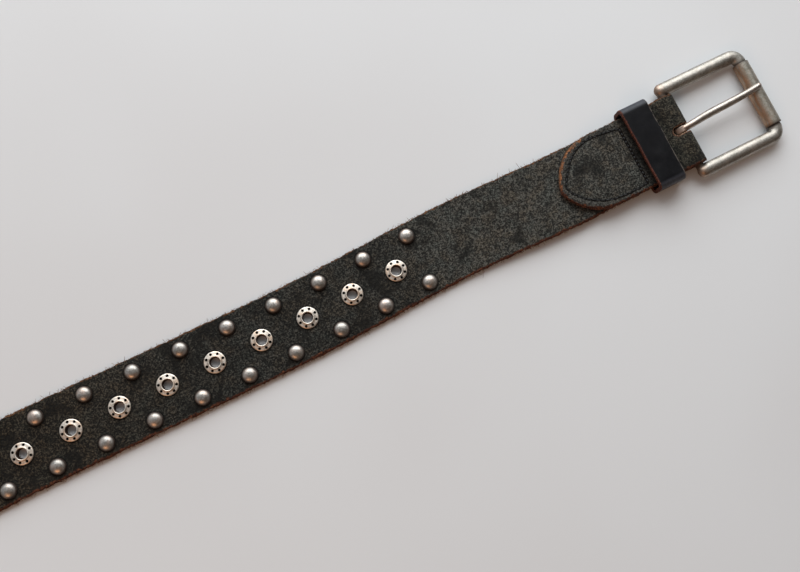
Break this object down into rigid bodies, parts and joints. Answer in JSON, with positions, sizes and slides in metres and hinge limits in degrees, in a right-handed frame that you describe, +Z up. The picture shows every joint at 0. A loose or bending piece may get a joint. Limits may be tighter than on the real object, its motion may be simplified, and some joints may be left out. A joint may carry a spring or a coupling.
{
  "type": "studded belt",
  "caption": "Leather belt laid out flat, with a roller buckle, a sliding keeper, rows of domed rivets and a middle row of pierced eyelets.",
  "frame": {"origin": "on the surface the belt lies on, under the middle of its whole length and width", "axes": "+X along the belt to the buckle, +Y across it, +Z up from its back to its face"},
  "size_m": [0.952, 0.0556, 0.0132],
  "materials": {
    "strap_leather": "worn nubuck",
    "keeper_leather": "smooth, waxed",
    "buckle_metal": "antique nickel",
    "rivet_metal": "antique nickel plate",
    "eyelet_metal": "worn nickel plate"
  },
  "bodies": {
    "belt": {"strap": "strap_leather", "stud_upper_1": "rivet_metal", "stud_lower_1": "rivet_metal", "stud_upper_2": "rivet_metal", "stud_lower_2": "rivet_metal", "stud_upper_3": "rivet_metal", "stud_lower_3": "rivet_metal", "stud_upper_4": "rivet_metal", "stud_lower_4": "rivet_metal", "stud_upper_5": "rivet_metal", "stud_lower_5": "rivet_metal", "stud_upper_6": "rivet_metal", "stud_lower_6": "rivet_metal", "stud_upper_7": "rivet_metal", "stud_lower_7": "rivet_metal", "stud_upper_8": "rivet_metal", "stud_lower_8": "rivet_metal", "stud_upper_9": "rivet_metal", "stud_lower_9": "rivet_metal", "stud_upper_10": "rivet_metal", "stud_lower_10": "rivet_metal", "stud_upper_11": "rivet_metal", "stud_lower_11": "rivet_metal", "stud_upper_12": "rivet_metal", "stud_lower_12": "rivet_metal", "stud_upper_13": "rivet_metal", "stud_lower_13": "rivet_metal", "stud_upper_14": "rivet_metal", "stud_lower_14": "rivet_metal", "stud_upper_15": "rivet_metal", "stud_lower_15": "rivet_metal", "stud_upper_16": "rivet_metal", "stud_lower_16": "rivet_metal", "eyelet_1": "eyelet_metal", "eyelet_2": "eyelet_metal", "eyelet_3": "eyelet_metal", "eyelet_4": "eyelet_metal", "eyelet_5": "eyelet_metal", "eyelet_6": "eyelet_metal", "eyelet_7": "eyelet_metal", "eyelet_8": "eyelet_metal", "eyelet_9": "eyelet_metal", "eyelet_10": "eyelet_metal", "eyelet_11": "eyelet_metal", "eyelet_12": "eyelet_metal", "eyelet_13": "eyelet_metal", "eyelet_14": "eyelet_metal", "eyelet_15": "eyelet_metal"},
    "keeper": {"keeper_loop": "keeper_leather"},
    "buckle": {"buckle_frame": "buckle_metal"},
    "roller": {"roller": "buckle_metal"},
    "prong": {"prong": "buckle_metal"}
  },
  "joints": [
    {"name": "frame_swing", "type": "hinge", "parent": "belt", "child": "buckle", "pos_m": [0.42401, 0, 0.00517], "axis": [0, -1, 0], "range_deg": [-90, 30]},
    {"name": "prong_swing", "type": "hinge", "parent": "buckle", "child": "prong", "pos_m": [0.42401, 0, 0.00517], "axis": [0, -1, 0], "range_deg": [0, 70]},
    {"name": "roller_spin", "type": "hinge", "parent": "buckle", "child": "roller", "pos_m": [0.4717, 0, 0.0043], "axis": [0, 1, 0], "continuous": true},
    {"name": "keeper_slide", "type": "slide", "parent": "belt", "child": "keeper", "axis": [-1, 0, 0], "range_m": [0, 0.04]}
  ]
}
